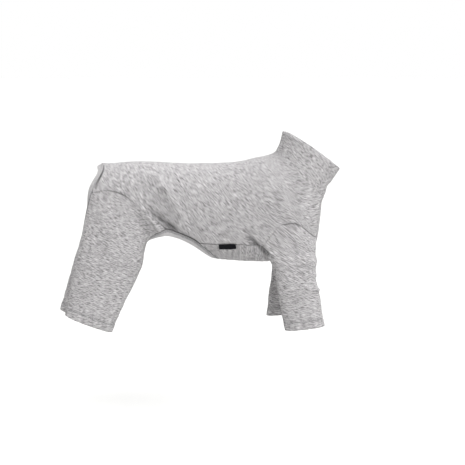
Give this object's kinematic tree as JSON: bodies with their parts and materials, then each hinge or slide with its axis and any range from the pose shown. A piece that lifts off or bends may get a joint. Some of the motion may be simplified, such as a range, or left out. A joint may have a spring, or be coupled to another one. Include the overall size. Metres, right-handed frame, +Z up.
{
  "type": "dog jumpsuit",
  "caption": "Hollow knitted jumpsuit for a small dog, with sleeved front and hind legs, a soft double collar and a rib-bound open rump and belly.",
  "frame": {"origin": "inside face of the back over the dog's withers, where the suit rests", "axes": "+X towards the dog's head, +Y to the dog's left, +Z up"},
  "size_m": [0.4506, 0.1282, 0.3186],
  "materials": {
    "jersey": "heather grey cotton jersey",
    "rib": "fine grey rib knit",
    "woven_label": "black woven tape"
  },
  "bodies": {
    "root": {"back_panel": "jersey", "belly_panel": "jersey", "collar": "jersey", "right_sleeve": "jersey", "left_sleeve": "jersey", "right_trouser_leg": "jersey", "left_trouser_leg": "jersey", "opening_binding": "rib", "side_label": "woven_label"}
  },
  "joints": []
}
